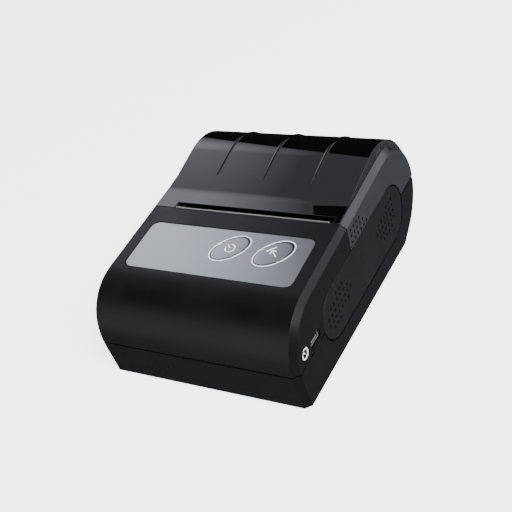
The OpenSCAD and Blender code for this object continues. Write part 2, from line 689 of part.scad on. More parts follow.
module battery_lid() color(black) difference() {
  union() {
    box(-bat_x - 0.8, bat_x + 0.8, bat_y0 - 0.5, bat_y1 + 0.5, 0, lid_t);
    box(-bat_x, bat_x, bat_y0, bat_y1, lid_t - 0.4, wall);
    box(-4, 4, 4.5, bat_y0, 0, lid_t);
    for (i = [0 : 5]) box(-8, 8, bat_y1 - 6.6 + i, bat_y1 - 6.1 + i, -0.15, 0.2);
  }
  translate([0, 7.4, -1]) {
    cylinder(r = 1.9, h = 2);
    cylinder(r = 1.1, h = 5);
  }
}

module rubber_feet() color(soft_black) for (f = feet)
  translate([f[0], f[1], -foot_h]) cylinder(r = 3.6, h = foot_h + 0.72);

module case_screws() color(steel) for (b = boss) translate([b[0], b[1], 0]) difference() {
  union() {
    translate([0, 0, 3.4]) cylinder(r = 2, h = 1.55);
    translate([0, 0, 4.5]) cylinder(r = 1.15, h = board_z + 0.75);
  }
  translate([-1.2, -0.25, 3]) cube([2.4, 0.5, 1]);
  translate([-0.25, -1.2, 3]) cube([0.5, 2.4, 1]);
}

module board_screws() color(steel)
  for (p = [post[0], post[2], post[3]]) translate([p[0], p[1], 0]) {
    translate([0, 0, board_z + board_t + 0.02]) cylinder(r = 1.5, h = 1.1);
    translate([0, 0, 9.5]) cylinder(r = 0.8, h = board_z + board_t - 9);
  }

module mech_screws() color(steel) for (m = mech) translate([m[0], m[1], 0]) {
  translate([0, 0, 6.12]) cylinder(r = 1.9, h = 1.3);
  translate([0, 0, 2.2]) cylinder(r = 0.9, h = 4.5);
}

module lid_screw() color(steel) translate([0, 7.4, 0]) difference() {
  union() {
    translate([0, 0, 0.15]) cylinder(r = 1.75, h = 0.8);
    translate([0, 0, 0.5]) cylinder(r = 0.9, h = 6);
  }
  translate([-1, -0.2, -0.2]) cube([2, 0.4, 0.8]);
  translate([-0.2, -1, -0.2]) cube([0.4, 2, 0.8]);
}

// Half round bay that the paper roll drops into, with end walls and a feed lip.
module paper_tray() color(soft_black) difference() {
  union() {
    rod(rub_x0 - 0.6, rub_w + 1.2, tray_y, tray_z, tray_r + tray_t);
    box(rub_x0 - 0.6, rub_x1 + 0.6, tray_y - tray_r - tray_t, tray_y - tray_r + 4,
      tray_z - 5.6, tray_z + 4.9);
  }
  rod(rub_x0 + 0.6, rub_w - 1.2, tray_y, tray_z, tray_r);
  box(rub_x0 + 0.6, rub_x1 - 0.6, tray_y - tray_r, tray_y, tray_z - 1, 60);
  box(-50, 50, tray_y - tray_r + 0.01, 140, tray_z + 1, 60);
}

module paper_sensor() color(black) union() {
  box(paper_x - 3, paper_x + 3, tray_y - tray_r - 3.4, tray_y - tray_r - 1.25,
    tray_z - 0.6, tray_z + 3.4);
  box(paper_x - 1, paper_x + 1, tray_y - tray_r - 2.8, tray_y - tray_r - 1.9,
    tray_z + 3.2, tray_z + 3.9);
}

module head_cable() color([0.8, 0.75, 0.6]) xprism(paper_x - cable_w / 2, cable_w) polygon([
  [head_y - 0.8, pcz - 7.2], [head_y - 0.6, pcz - 7.2], [head_y - 0.6, cable_z + 1],
  [head_y - 0.8, cable_z + 0.8], [head_y - 3.7, cable_z - 0.05], [wall_y - 0.3, cable_z - 0.35],
  [board_end - 3.8, board_z + board_t + 1.67], [board_end - 4, board_z + board_t + 1.67],
  [board_end - 4, board_z + board_t + 1.95], [wall_y - 0.6, cable_z - 0.05],
  [head_y - 3.7, cable_z + 0.2], [head_y - 0.8, cable_z + 1.1]]);

place() upper_housing();
place() bottom_case();
place() panel_film();
place() power_key();
place() feed_key();
place() key_board();
place() tact_switches();
place() tear_bar();
place() head_chassis();
place() heat_sink();
place() thermal_head();
place() head_springs();
place() stepper_motor();
place() motor_pinion();
place() reduction_gear();
place() gear_pin();
place() platen_shaft();
place() platen_rubber();
place() platen_gear();
place() platen_bushes();
place() cover_frame();
place() cover_window();
place() hinge_pins();
place() inlay_left();
place() inlay_right();
place() main_board();
place() board_parts();
place() dc_jack_sleeve();
place() dc_jack_body();
place() usb_socket();
place() battery_pack();
place() battery_lid();
place() rubber_feet();
place() case_screws();
place() board_screws();
place() mech_screws();
place() lid_screw();
place() paper_tray();
place() paper_sensor();
place() head_cable();
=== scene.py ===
import math
import bmesh
import bpy
from mathutils import Matrix, Vector


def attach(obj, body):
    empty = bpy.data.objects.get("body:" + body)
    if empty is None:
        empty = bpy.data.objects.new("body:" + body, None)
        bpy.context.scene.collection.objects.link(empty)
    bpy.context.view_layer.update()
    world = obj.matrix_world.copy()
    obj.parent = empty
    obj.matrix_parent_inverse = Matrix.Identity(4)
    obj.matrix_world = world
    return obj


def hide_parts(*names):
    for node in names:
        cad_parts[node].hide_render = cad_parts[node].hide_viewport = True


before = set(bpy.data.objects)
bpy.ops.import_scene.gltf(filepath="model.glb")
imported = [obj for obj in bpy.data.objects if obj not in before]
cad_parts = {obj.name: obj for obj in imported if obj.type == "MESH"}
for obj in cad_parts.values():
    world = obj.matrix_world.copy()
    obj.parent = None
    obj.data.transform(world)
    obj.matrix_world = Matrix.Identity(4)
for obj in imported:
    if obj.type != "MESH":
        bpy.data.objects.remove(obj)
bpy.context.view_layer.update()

# Camera. It looks at the printer's right front corner from a little above, with a
# long lens, and is rolled so that the front edge runs uphill to the left.
LENS_MM = 65.64
SENSOR_MM = 36.0
NEAREST = 0.01
EYE = Vector((0.16585, -0.22522, 0.2155))
LOOK_AZIMUTH, LOOK_DOWN, ROLL = (math.radians(a) for a in (36.94, 35.21, -16.3))

forward = Vector((-math.sin(LOOK_AZIMUTH) * math.cos(LOOK_DOWN),
                  math.cos(LOOK_AZIMUTH) * math.cos(LOOK_DOWN), -math.sin(LOOK_DOWN)))
level = forward.cross(Vector((0, 0, 1))).normalized()
upright = level.cross(forward)
across = math.cos(ROLL) * level + math.sin(ROLL) * upright
above = math.cos(ROLL) * upright - math.sin(ROLL) * level
lens = bpy.data.cameras.new("camera")
lens.lens = LENS_MM
lens.sensor_width = SENSOR_MM
lens.clip_start = NEAREST
camera = bpy.data.objects.new("camera", lens)
camera.matrix_world = Matrix.Translation(EYE) @ Matrix((across, above, -forward)).transposed().to_4x4()
bpy.context.scene.collection.objects.link(camera)
bpy.context.scene.camera = camera

# Table. A white painted table top that the printer stands on, much larger than the
# picture, so that no edge of it shows from above.
MM = 0.001
SURFACE = "Principled BSDF"


def to_linear(hex_code):
    """sRGB hex colour as the linear RGBA that a shader socket takes."""
    parts = [int(hex_code[i:i + 2], 16) / 255 for i in (1, 3, 5)]
    return [c / 12.92 if c <= 0.04045 else ((c + 0.055) / 1.055) ** 2.4 for c in parts] + [1.0]


def add(tree, kind, settings):
    """Adds one node. A lower-case key is a property, any other key an input to set or link."""
    made = tree.nodes.new("ShaderNode" + kind)
    for key, value in settings.items():
        if isinstance(key, str) and key[0].islower():
            setattr(made, key, value)
        elif isinstance(value, bpy.types.NodeSocket):
            tree.links.new(value, made.inputs[key])
        else:
            made.inputs[key].default_value = value
    return made


def new_finish(name, hex_code, roughness, metallic=0.0, ior=1.5, gloss=0.5):
    """A material whose Principled shader holds the constants of a real surface."""
    finish = bpy.data.materials.new(name)
    finish.use_nodes = True
    shader = finish.node_tree.nodes[SURFACE]
    shader.inputs["Base Color"].default_value = to_linear(hex_code)
    shader.inputs["Roughness"].default_value = roughness
    shader.inputs["Metallic"].default_value = metallic
    shader.inputs["IOR"].default_value = ior
    shader.inputs["Specular IOR Level"].default_value = gloss
    return finish


def new_piece(name, corners, faces):
    """A mesh object from its corner points in metres and its faces."""
    mesh = bpy.data.meshes.new(name)
    mesh.from_pydata([tuple(c) for c in corners], [], faces)
    mesh.update()
    piece = bpy.data.objects.new(name, mesh)
    bpy.context.scene.collection.objects.link(piece)
    return piece


TABLE_HALF = 12.0
TABLE_WHITE, TABLE_SHADE, TABLE_PATCHES = "#f4f4f3", "#f1f1f0", 3.0
TABLE_ROUGH, TABLE_GLOSS, TABLE_GLOW = 0.9, 0.1, 3.0
# matt paint: an even pale ground with hardly any shadow; its glow lifts it towards white
paint = new_finish("table_matt_paint", TABLE_WHITE, TABLE_ROUGH, gloss=TABLE_GLOSS)
tree = paint.node_tree
shader = tree.nodes[SURFACE]
mottle = add(tree, "TexNoise", {"Scale": TABLE_PATCHES, "Detail": 2.0})
shade = add(tree, "Mix", {"data_type": "RGBA", 0: mottle.outputs[0],
                          6: to_linear(TABLE_WHITE), 7: to_linear(TABLE_SHADE)})
tree.links.new(shade.outputs[2], shader.inputs["Base Color"])
shader.inputs["Emission Color"].default_value = to_linear("#ffffff")
shader.inputs["Emission Strength"].default_value = TABLE_GLOW
table = new_piece("table", [(x, y, 0) for x, y in ((-TABLE_HALF, -TABLE_HALF), (TABLE_HALF, -TABLE_HALF),
                                                    (TABLE_HALF, TABLE_HALF), (-TABLE_HALF, TABLE_HALF))],
                  [(0, 1, 2, 3)])
table.data.materials.append(paint)
table.visible_glossy = False

# Softbox. A tall cloth box on edge behind the left corner; its right edge is the sharp
# line in the glossy cover. Its lamp sits low in it, so the cloth fades outwards.
BOX_AWAY, BOX_HALF, BOX_FOOT, BOX_TOP = 1.2, 0.75, 0.05, 2.2
BOX_GLOW, BOX_DIM = 2.0, 0.45
LAMP_SIDE, LAMP_HEIGHT = 0.39, 0.95
LAMP_CORE, LAMP_REACH = 0.25, 0.75
LAMP_TINT = "#f2f5ff"
LAMP_SHAPE = Vector((1.9, 1.0, 1.0))
BOX_AZIMUTH = math.radians(-68)
softbox = new_piece("softbox", [(s * BOX_HALF, BOX_AWAY, z)
                                for s, z in ((-1, BOX_FOOT), (1, BOX_FOOT), (1, BOX_TOP), (-1, BOX_TOP))],
                    [(0, 1, 2, 3)])
softbox.matrix_world = Matrix.Rotation(-BOX_AZIMUTH, 4, "Z")
# diffuser cloth: grades the light over the film and the window from bright to grey
glow = bpy.data.materials.new("softbox_cloth")
glow.use_nodes = True
tree = glow.node_tree
tree.nodes.clear()
place = add(tree, "TexCoord", {}).outputs["Object"]
stretched = add(tree, "VectorMath", {"operation": "MULTIPLY", 0: place, 1: LAMP_SHAPE})
reach = add(tree, "VectorMath", {"operation": "DISTANCE", 0: stretched.outputs[0],
                                 1: Vector((LAMP_SIDE, BOX_AWAY, LAMP_HEIGHT)) * LAMP_SHAPE})
fade = add(tree, "MapRange", {0: reach.outputs["Value"], 1: LAMP_CORE, 2: LAMP_REACH,
                              3: BOX_GLOW, 4: BOX_DIM})
light = add(tree, "Emission", {"Color": to_linear(LAMP_TINT), "Strength": fade.outputs[0]})
add(tree, "OutputMaterial", {"Surface": light.outputs[0]})
softbox.data.materials.append(glow)


# Panels. A large soft panel stands high at the right front and fills the shadows; a
# small one at the right back lights the right wall and the bevels.
def soft_panel(name, azimuth, up, away, size, energy, tint):
    """An area light, angles in degrees, that faces the printer from its distance in metres."""
    turn, rise = math.radians(azimuth), math.radians(up)
    panel = bpy.data.lights.new(name, "AREA")
    panel.shape = "RECTANGLE"
    panel.size, panel.size_y = size
    panel.energy = energy
    panel.color = to_linear(tint)[:3]
    out = Vector((math.sin(turn) * math.cos(rise), math.cos(turn) * math.cos(rise), math.sin(rise)))
    stand = bpy.data.objects.new(name, panel)
    stand.matrix_world = Matrix.Translation(away * out) @ out.to_track_quat("Z", "Y").to_matrix().to_4x4()
    bpy.context.scene.collection.objects.link(stand)


soft_panel("fill_panel", azimuth=122, up=50, away=2.0, size=(1.0, 1.0), energy=90, tint="#ffffff")
soft_panel("rim_panel", azimuth=50, up=30, away=1.3, size=(1.5, 0.5), energy=6.5, tint="#f0f5ff")

# Room. A dark studio. The table is hidden from reflections, so a soft glow below the
# horizon stands for it there, and a white card stands at the left front.
ROOM_DARK, ROOM_FLOOR, ROOM_TINT = 0.015, 0.34, "#f3f7ff"
CARD_TOWARD, CARD_GLOW, CARD_EDGE = Vector((-0.42, -0.90, 0.12)), 1.25, 0.8
world = bpy.data.worlds.new("dim_room")
world.use_nodes = True
tree = world.node_tree
toward = add(tree, "TexCoord", {}).outputs["Generated"]
split = add(tree, "SeparateXYZ", {0: toward})
corner = add(tree, "Math", {"operation": "SUBTRACT", 0: split.outputs["X"], 1: split.outputs["Y"]})
# What the glow is measured along, from where to where it changes, and its share before and after:
# dim at the far left, half as bright at the right, dark at the left back, brightest below and
# gone at the horizon, and dim again straight down.
ROOM_RAMPS = ((split.outputs["X"], -0.62, -0.42, 0.3, 1.0), (split.outputs["X"], -0.3, 0.3, 1.0, 0.5),
              (corner.outputs[0], -0.8, -0.4, 0.0, 1.0), (split.outputs["Z"], -0.55, 0.0, ROOM_FLOOR, 0.0),
              (split.outputs["Z"], -0.85, -0.62, 0.3, 1.0))
lit = None
for measured, start, end, before, after in ROOM_RAMPS:
    share = add(tree, "MapRange", {0: measured, 1: start, 2: end, 3: before, 4: after}).outputs[0]
    lit = share if lit is None else add(tree, "Math", {"operation": "MULTIPLY", 0: lit, 1: share}).outputs[0]
toward_card = add(tree, "VectorMath", {"operation": "DOT_PRODUCT", 0: toward, 1: CARD_TOWARD})
card = add(tree, "MapRange", {0: toward_card.outputs["Value"], 1: CARD_EDGE, 2: 1.0, 3: ROOM_DARK,
                              4: CARD_GLOW})
level_light = add(tree, "Math", {"operation": "ADD", 0: lit, 1: card.outputs[0]})
tree.links.new(level_light.outputs[0], tree.nodes["Background"].inputs["Strength"])
tree.nodes["Background"].inputs["Color"].default_value = to_linear(ROOM_TINT)
bpy.context.scene.world = world

# Lower case. The tub is injection-moulded black ABS with a fine spark-eroded texture. It
# carries the battery, the board and the hinge ears, and stands on four rubber feet; the
# battery lid is screwed into its floor.
SPARK_GRAIN = 0.45
SPARK_DEPTH = 0.004
# how much lighter the paled edges get: partly wear, partly painted highlight
EDGE_PALE, EDGE_PALER = 0.05, 1.6
EDGE_FROM, EDGE_FULL = 0.995, 0.8
CLOUD, CLOUD_DIM, CLOUD_BRIGHT = 22, 0.85, 1.15
NOISE_LOW, NOISE_HIGH = 0.3, 0.7
SAME_POINT, SAME_PLANE, CREASE = 0.002, 0.3, 24
# lengths are in mm; a tilt is the sideways part of a face's normal
CASE_FRONT, FEET = -54, 0.5
SEAM_FRONT, SEAM_RISE, SEAM_HALF = 15.1 + FEET, 0.045, 0.15
SEAM_BACK, SEAM_COVER, SEAM_CUT = 20.5 + FEET, 48.7 + CASE_FRONT, 0.17
LEDGE_HIGH = 1.3
SIDE_AT, RECESS_DEEP = 39.5, 1.2
FACE_TILT, BEVEL_TILT = 0.3, 0.9
PIT_DEEP, PIT_AREA = 0.4, 0.4
ON_FACE, JUST_IN = 0.01, 0.02


def dressed(node, name, pitted=False):
    """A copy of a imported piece, welded and shaded as one moulding; a pitted one keeps its facets."""
    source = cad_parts[node].data
    piece = new_piece(name, [v.co for v in source.vertices], [p.vertices[:] for p in source.polygons])
    shell = bmesh.new()
    shell.from_mesh(piece.data)
    bmesh.ops.remove_doubles(shell, verts=shell.verts, dist=SAME_POINT * MM)
    if not pitted:
        bmesh.ops.dissolve_limit(shell, angle_limit=math.radians(SAME_PLANE), verts=shell.verts,
                                 edges=shell.edges)
    shell.to_mesh(piece.data)
    shell.free()
    piece.data.shade_smooth()
    piece.data.set_sharp_from_angle(angle=math.radians(CREASE))
    flat_first = piece.modifiers.new("flat_faces_first", "WEIGHTED_NORMAL")
    flat_first.keep_sharp = True
    flat_first.weight = 100
    return piece


def wear_and_edge_highlight(finish, hex_code, grain, depth, soft_edge=0.2, rubbed_and_highlit=0.35, scatter=0.08):
    """Grain, uneven sheen, softened edges, and edges paled partly as rubbed wear and partly as a painted
    edge highlight, of a moulded or stamped piece, in mm.
    """
    tree = finish.node_tree
    shader = tree.nodes[SURFACE]
    where = add(tree, "TexCoord", {}).outputs["Object"]
    soft = add(tree, "Bevel", {"samples": 4, "Radius": soft_edge * MM})
    fine = add(tree, "TexNoise", {"Vector": where, "Scale": 1 / (grain * MM), "Detail": 2.0})
    broad = add(tree, "TexNoise", {"Vector": where, "Scale": 1 / (CLOUD * MM), "Detail": 4.0})
    bump = add(tree, "Bump", {"Distance": depth * MM, "Height": fine.outputs[0], "Normal": soft.outputs[0]})
    tree.links.new(bump.outputs[0], shader.inputs["Normal"])
    flat = add(tree, "NewGeometry", {}).outputs["Normal"]
    turn = add(tree, "VectorMath", {"operation": "DOT_PRODUCT", 0: soft.outputs[0], 1: flat})
    # painted highlight: edges and seams are paled towards a lighter colour, partly as rubbed wear and partly
    # standing in for the bright edge lines of the lighting
    edge = add(tree, "MapRange", {0: turn.outputs["Value"], 1: EDGE_FROM, 2: EDGE_FULL, 3: 0.0, 4: rubbed_and_highlit})
    base = to_linear(hex_code)
    pale = [min(1.0, c * EDGE_PALER + EDGE_PALE) for c in base[:3]] + [1.0]
    dim, strong = ([min(1.0, c * k) for c in base[:3]] + [1.0] for k in (CLOUD_DIM, CLOUD_BRIGHT))
    cloudy = add(tree, "Mix", {"data_type": "RGBA", 0: broad.outputs[0], 6: dim, 7: strong})
    worn_and_highlit_colour = add(tree, "Mix", {"data_type": "RGBA", 0: edge.outputs[0], 6: cloudy.outputs[2], 7: pale})
    tree.links.new(worn_and_highlit_colour.outputs[2], shader.inputs["Base Color"])
    rough = shader.inputs["Roughness"].default_value
    sheen = add(tree, "MapRange", {0: broad.outputs[0], 1: NOISE_LOW, 2: NOISE_HIGH,
                                   3: rough - scatter, 4: rough + scatter})
    tree.links.new(sheen.outputs[0], shader.inputs["Roughness"])


def coat(finish, *nodes):
    """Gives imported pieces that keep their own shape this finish."""
    for node in nodes:
        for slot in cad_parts[node].material_slots:
            slot.material = finish


def seam_height(point):
    """Height of the sloping seam of the case over the table, in mm, at a point in mm."""
    return SEAM_FRONT + SEAM_RISE * (point.y - CASE_FRONT)


def ease(piece, on_seam, move):
    """Shifts the points of one seam face by millimetres, for the small radius the mould leaves there."""
    for corner_point in piece.data.vertices:
        if on_seam(corner_point.co / MM):
            corner_point.co += Vector(move) * MM


# painted shade: a near-black matt finish given to the seam ledges, the pad recesses and the grip pits, so
# that seams and pits read as dark lines and dots. Its grain is drawn at 0.3 mm, because the real one is too
# fine to show.
PAINTED_SHADE_BLACK = "#020203"
painted_shade_finish = new_finish("painted_shade_black", PAINTED_SHADE_BLACK, roughness=0.8, gloss=0.1)
wear_and_edge_highlight(painted_shade_finish, PAINTED_SHADE_BLACK, grain=0.3, depth=0.002, rubbed_and_highlit=0.0)


def paint_shade(piece, hidden):
    """Gives the facets that hidden picks, by centre in mm, normal and area in square mm, the near-black
    finish of painted shade.
    """
    piece.data.materials.append(painted_shade_finish)
    last = len(piece.data.materials) - 1
    for facet in piece.data.polygons:
        if hidden(facet.center / MM, facet.normal, facet.area / MM ** 2):
            facet.material_index = last


def in_side_recess(centre, normal):
    """True for the floor and walls of the shallow pad recesses, but not for the case's bevel."""
    deep = SIDE_AT - abs(centre.x)
    return JUST_IN < deep < RECESS_DEEP and not FACE_TILT < abs(normal.x) < BEVEL_TILT


def is_pit(face_at, centre, normal, area):
    """True for the faces of the small grip pits in a side face, face_at mm from the middle."""
    deep = face_at - abs(centre.x)
    return ON_FACE / 2 < deep < PIT_DEEP and area < PIT_AREA and abs(normal.x) > FACE_TILT


def in_seam(centre):
    """True for the ledge in the sloping seam or the back seam and for what stands just over it."""
    over = centre.z - (seam_height(centre) if centre.y < SEAM_COVER else SEAM_BACK)
    return -SEAM_HALF - SEAM_CUT - JUST_IN < over < LEDGE_HIGH


# black ABS with a low sheen: it shows the curved front as a soft band between two darks.
# The spark grain is drawn at 0.45 mm, because the real one is too fine to show.
ABS_BLACK = "#090a0c"
case_abs = new_finish("moulded_abs_black", ABS_BLACK, roughness=0.34, ior=1.53, gloss=0.25)
wear_and_edge_highlight(case_abs, ABS_BLACK, grain=SPARK_GRAIN, depth=SPARK_DEPTH, rubbed_and_highlit=0.1)
tub = dressed("bottom_case", "lower_case")
tub.data.materials.append(case_abs)
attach(tub, "base")
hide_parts("bottom_case")
ease(tub, lambda q: abs(q.z - seam_height(q) + SEAM_HALF) < ON_FACE, (0, 0, -SEAM_CUT))
ease(tub, lambda q: abs(q.z - SEAM_BACK + SEAM_HALF) < ON_FACE, (0, 0, -SEAM_CUT))
# painted shade: the seam ledges and the pad recesses of the tub get the near-black finish
paint_shade(tub, lambda at, facing, area: in_seam(at) or in_side_recess(at, facing))
coat(case_abs, "battery_lid")

# moulded rubber: dull black, the feet and the roller swallow the light
RUBBER_BLACK = "#121315"
rubber = new_finish("moulded_rubber_black", RUBBER_BLACK, roughness=0.68, ior=1.52)
wear_and_edge_highlight(rubber, RUBBER_BLACK, grain=0.3, depth=0.006, rubbed_and_highlit=0.15)
coat(rubber, "rubber_feet", "platen_rubber")

# zinc plate: grey metal with small soft highlights on screws, pins, shaft, springs and motor
SCREW_STEEL = "#8d8f92"
screw_steel = new_finish("zinc_plated_steel", SCREW_STEEL, roughness=0.32, metallic=1.0)
wear_and_edge_highlight(screw_steel, SCREW_STEEL, grain=0.6, depth=0.002, soft_edge=0.08)
coat(screw_steel, "case_screws", "board_screws", "mech_screws", "lid_screw", "hinge_pins", "gear_pin",
     "platen_shaft", "tact_switches", "stepper_motor", "head_springs")

# Electronics. A green two-layer board lies over the battery, with its chips, the round
# power inlet and the small data socket soldered along its right edge; the key board
# hangs under the panel, and a flat cable runs to the print head.

# solder mask: a glossy dark green skin over glass fibre
MASK_GREEN = "#0c4a26"
mask = new_finish("soldermask_green", MASK_GREEN, roughness=0.3)
wear_and_edge_highlight(mask, MASK_GREEN, grain=1.4, depth=0.004)
coat(mask, "main_board", "key_board")

# moulded epoxy: flat dark grey blocks, duller than the case
CHIP_BLACK = "#1a1a1c"
chip = new_finish("epoxy_chip_black", CHIP_BLACK, roughness=0.5)
wear_and_edge_highlight(chip, CHIP_BLACK, grain=0.25, depth=0.004)
coat(chip, "board_parts", "dc_jack_body", "paper_sensor")

NICKEL, TIN, SOCKET_SHADE = "#f2f1ee", "#6e6f71", "#151515"
PLATE_ROUGH, PLATE_METAL = 0.42, 0.4
SATIN_LEAST, SATIN_MOST = 0.34, 0.5
MOUTH_AT, MOUTH_SOFT = 38.8, 0.15
ROLLED, ROLLED_DEPTH = 0.8, 0.001


def plated(name, hex_code):
    """Plating that is bright at the mouth of a socket, with painted shade darkening it inside."""
    finish = new_finish(name, hex_code, PLATE_ROUGH, metallic=PLATE_METAL)
    tree = finish.node_tree
    shader = tree.nodes[SURFACE]
    inward = add(tree, "SeparateXYZ", {0: add(tree, "TexCoord", {}).outputs["Object"]})
    mouth = add(tree, "MapRange", {0: inward.outputs["X"], 1: (MOUTH_AT - MOUTH_SOFT) * MM,
                                   2: MOUTH_AT * MM})
    rolled = add(tree, "TexNoise", {"Scale": 1 / (ROLLED * MM), "Detail": 2.0})
    satin = add(tree, "MapRange", {0: rolled.outputs[0], 1: NOISE_LOW, 2: NOISE_HIGH,
                                   3: SATIN_LEAST, 4: SATIN_MOST})
    rolling = add(tree, "Bump", {"Distance": ROLLED_DEPTH * MM, "Height": rolled.outputs[0]})
    # painted shade: the base colour darkens to near black inside the socket, behind its mouth
    shaded_inside = add(tree, "Mix", {"data_type": "RGBA", 0: mouth.outputs[0], 6: to_linear(SOCKET_SHADE),
                               7: to_linear(hex_code)})
    tree.links.new(shaded_inside.outputs[2], shader.inputs["Base Color"])
    tree.links.new(satin.outputs[0], shader.inputs["Roughness"])
    tree.links.new(rolling.outputs[0], shader.inputs["Normal"])
    return finish


# satin nickel: the inlet is a clean white ring with a dot in its middle
coat(plated("satin_nickel_plate", NICKEL), "dc_jack_sleeve")
# tinned steel: the data socket is two thin grey lines in a dark mouth, darkened inside by painted shade
coat(plated("tinned_steel_shell", TIN), "usb_socket")

# shrink wrap: glossy blue film over the cell, its slack waves drawn 5 mm apart
WRAP_BLUE = "#2d4f86"
wrap = new_finish("battery_shrink_wrap", WRAP_BLUE, roughness=0.28)
wear_and_edge_highlight(wrap, WRAP_BLUE, grain=5.0, depth=0.03, soft_edge=0.8)
coat(wrap, "battery_pack")

# polyimide: the amber ribbon of the print head
FLEX = "#c9a86a"
flex = new_finish("polyimide_flat_cable", FLEX, roughness=0.4)
wear_and_edge_highlight(flex, FLEX, grain=0.5, depth=0.003)
coat(flex, "head_cable")

# Print mechanism. A stamped steel chassis holds the ceramic line head on its spring
# plates, the stepper motor and the acetal gears, and is screwed to posts of the tub.
# The paper tray lies behind it.

# blackened steel: dark, with a faint metallic sheen along its folds
CHASSIS_BLACK = "#202124"
chassis = new_finish("blackened_steel", CHASSIS_BLACK, roughness=0.4, metallic=0.6)
wear_and_edge_highlight(chassis, CHASSIS_BLACK, grain=0.5, depth=0.003)
coat(chassis, "head_chassis")

# extruded aluminium: a light satin bar behind the head
ALUMINIUM = "#b9bbbe"
aluminium = new_finish("extruded_aluminium", ALUMINIUM, roughness=0.35, metallic=1.0)
wear_and_edge_highlight(aluminium, ALUMINIUM, grain=0.7, depth=0.002)
coat(aluminium, "heat_sink")

# glazed alumina: smooth, off-white and glossy
CERAMIC = "#e6e3da"
ceramic = new_finish("glazed_alumina", CERAMIC, roughness=0.2, ior=1.7)
wear_and_edge_highlight(ceramic, CERAMIC, grain=0.8, depth=0.001)
coat(ceramic, "thermal_head")

# acetal: milky white gears with a waxy sheen
ACETAL = "#dedcd2"
acetal = new_finish("acetal_gear_white", ACETAL, roughness=0.45, ior=1.48)
wear_and_edge_highlight(acetal, ACETAL, grain=0.4, depth=0.003)
coat(acetal, "reduction_gear", "platen_gear")

# turned brass: warm metal with fine tool marks, drawn at 0.3 mm because real ones are finer
BRASS = "#b8935a"
brass = new_finish("turned_brass", BRASS, roughness=0.3, metallic=1.0)
wear_and_edge_highlight(brass, BRASS, grain=0.3, depth=0.002, soft_edge=0.06)
coat(brass, "motor_pinion", "platen_bushes")

# bay plastic: the same black, duller, so that the bay looks deep
TRAY_BLACK = "#1c1d1f"
tray_abs = new_finish("moulded_abs_bay", TRAY_BLACK, roughness=0.5)
wear_and_edge_highlight(tray_abs, TRAY_BLACK, grain=0.5, depth=0.004)
coat(tray_abs, "paper_tray")

# Upper housing. The curved front half of the case, moulded in the same black ABS, with
# the bevel that runs round its top; it is screwed to the tub from below.
housing = dressed("upper_housing", "front_housing")
ease(housing, lambda q: abs(q.z - seam_height(q) - SEAM_HALF) < ON_FACE, (0, 0, SEAM_CUT))
housing.data.materials.append(case_abs)
# painted shade: the pad recesses of the housing get the near-black finish
paint_shade(housing, lambda at, facing, area: in_side_recess(at, facing))
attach(housing, "base")
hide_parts("upper_housing")

# Key film. Silver screen-printed polyester film glued into the shallow panel recess,
# with a white printed ring round each of the two oval keys.
PANEL_SLOPE = math.radians(5.38298)
PANEL_FOOT = (0, 17.2176 + CASE_FRONT, 36.4162 + FEET)
KEY_ACROSS, KEY_UP, KEY_TURN = (3.5, 20.4), 14.7519, math.radians(43)
FILM_TOP = -0.15
RING_LONG, RING_SHORT, RING_LINE = 7.7, 5.0, 0.4
INK_PROUD, INK_SUNK = 0.03, 0.02


def on_panel(x, up, turn=0.0):
    """Places millimetres in the sloping panel's own plane, x across, y up the slope, z out of it."""
    return (Matrix.Scale(MM, 4) @ Matrix.Translation(PANEL_FOOT) @ Matrix.Rotation(PANEL_SLOPE, 4, "X")
            @ Matrix.Translation((x, up, 0)) @ Matrix.Rotation(turn, 4, "Z"))


def oval(long, short, height, steps=72):
    """Points of an oval at one height."""
    return [Vector((long * math.cos(math.tau * i / steps), short * math.sin(math.tau * i / steps), height))
            for i in range(steps)]


def printed_lines(name, place, lines, line_wide, low, high):
    """Raised ink lines along paths of (x, y); a path whose ends meet is closed."""
    corners, faces = [], []
    for path in lines:
        closed = (Vector(path[0]) - Vector(path[-1])).length < 1e-6
        points = [Vector(q) for q in (path[:-1] if closed else path)]
        start, count = len(corners), len(points)
        for i, point in enumerate(points):
            after = points[(i + 1) % count] if closed or i + 1 < count else point
            before = points[i - 1] if closed or i else point
            along = (after - before).normalized()
            aside = Vector((-along.y, along.x)) * line_wide / 2
            for edge, height in ((aside, low), (-aside, low), (-aside, high), (aside, high)):
                corners.append(place @ Vector((point.x + edge.x, point.y + edge.y, height)))
        for i in range(count if closed else count - 1):
            here, there = start + 4 * i, start + 4 * ((i + 1) % count)
            faces += [(here + k, here + (k + 1) % 4, there + (k + 1) % 4, there + k) for k in range(4)]
        if not closed:
            last = start + 4 * (count - 1)
            faces += [(start + 3, start + 2, start + 1, start), (last, last + 1, last + 2, last + 3)]
    return new_piece(name, corners, faces)


# metallic ink on film: a bright, slightly cloudy silver that follows the softbox.
# Its flakes are drawn at 0.35 mm, because real ones are far too fine to show.
FILM_SILVER = "#a6a8ac"
film_ink = new_finish("silver_printed_film", FILM_SILVER, roughness=0.24, metallic=1.0)
wear_and_edge_highlight(film_ink, FILM_SILVER, grain=0.35, depth=0.004, soft_edge=0.08, scatter=0.02)
film = dressed("panel_film", "key_film")
film.data.materials.append(film_ink)
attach(film, "base")
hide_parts("panel_film")

